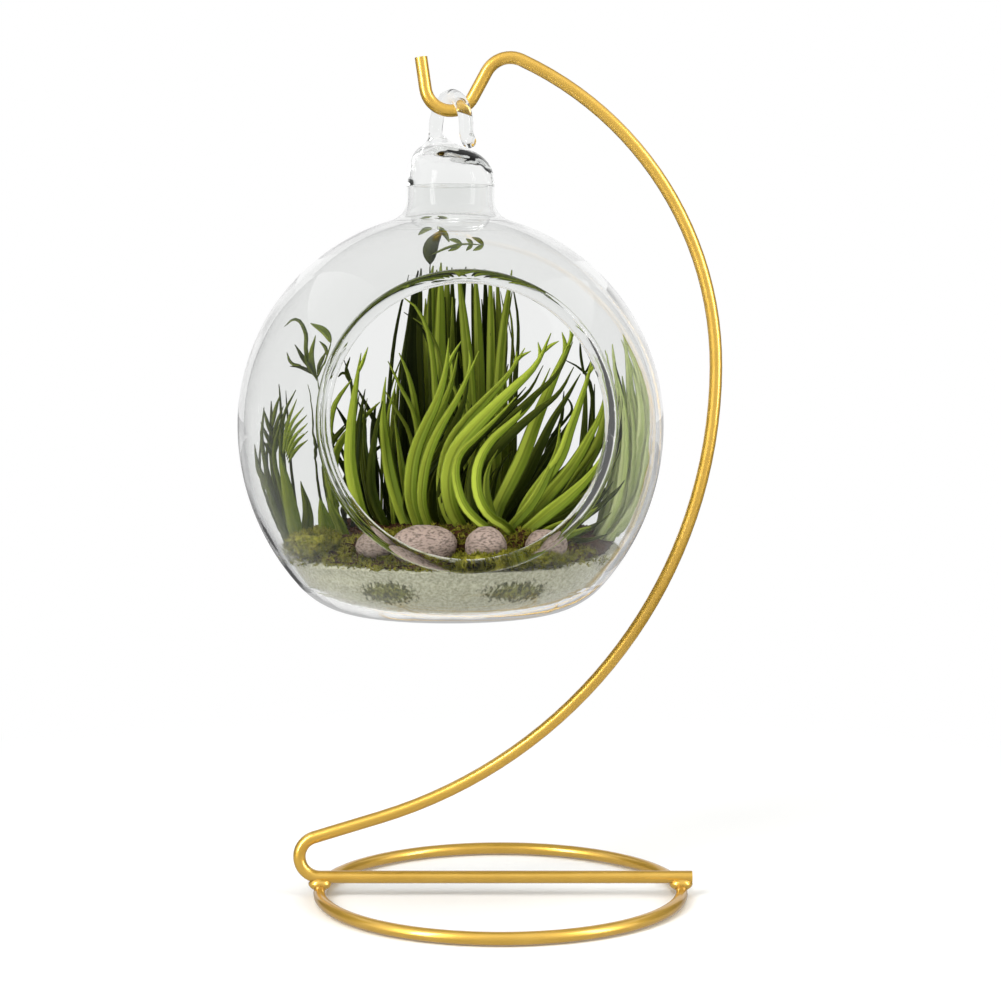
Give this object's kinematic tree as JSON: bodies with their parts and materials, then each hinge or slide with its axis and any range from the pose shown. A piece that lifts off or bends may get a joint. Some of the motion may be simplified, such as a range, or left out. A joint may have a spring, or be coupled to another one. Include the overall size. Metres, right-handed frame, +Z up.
{
  "type": "air plant holder",
  "caption": "Clear glass globe with a round side mouth, planted with grasses over soil and sand, hung by a glass hook from a bent gold wire stand on a ring base.",
  "frame": {"origin": "centre of the base ring, on the table surface", "axes": "+Z up; +X along the bar across the ring, towards the side of the spine; the globe's mouth looks towards -Y"},
  "size_m": [0.171, 0.1417, 0.3008],
  "materials": {
    "gold_paint": "satin",
    "clear_glass": "gloss",
    "pale_sand": "matte",
    "dark_soil": "matte",
    "green_moss": "matte",
    "grey_pebble": "matte",
    "strap_leaf": "satin",
    "grass_blade": "satin"
  },
  "bodies": {
    "stand": {"stand_rod": "gold_paint", "base_ring": "gold_paint", "left_weld": "gold_paint", "right_weld": "gold_paint"},
    "globe": {"glass_globe": "clear_glass", "glass_hook": "clear_glass", "sand_layer": "pale_sand", "soil_bed": "dark_soil", "large_stone": "grey_pebble", "round_stone": "grey_pebble", "right_stone": "grey_pebble", "left_stone": "grey_pebble", "front_moss": "green_moss", "left_moss": "green_moss", "back_moss": "green_moss", "left_strap_plant": "strap_leaf", "middle_strap_plant": "strap_leaf", "right_strap_plant": "strap_leaf", "tall_grass": "grass_blade", "left_grass": "grass_blade", "left_fern": "grass_blade", "right_tuft": "grass_blade"}
  },
  "joints": [
    {"name": "globe_swing", "type": "hinge", "parent": "stand", "child": "globe", "pos_m": [-0.0175, 0, 0.28013], "axis": [1, 0, 0], "range_deg": [-45, 45]}
  ]
}
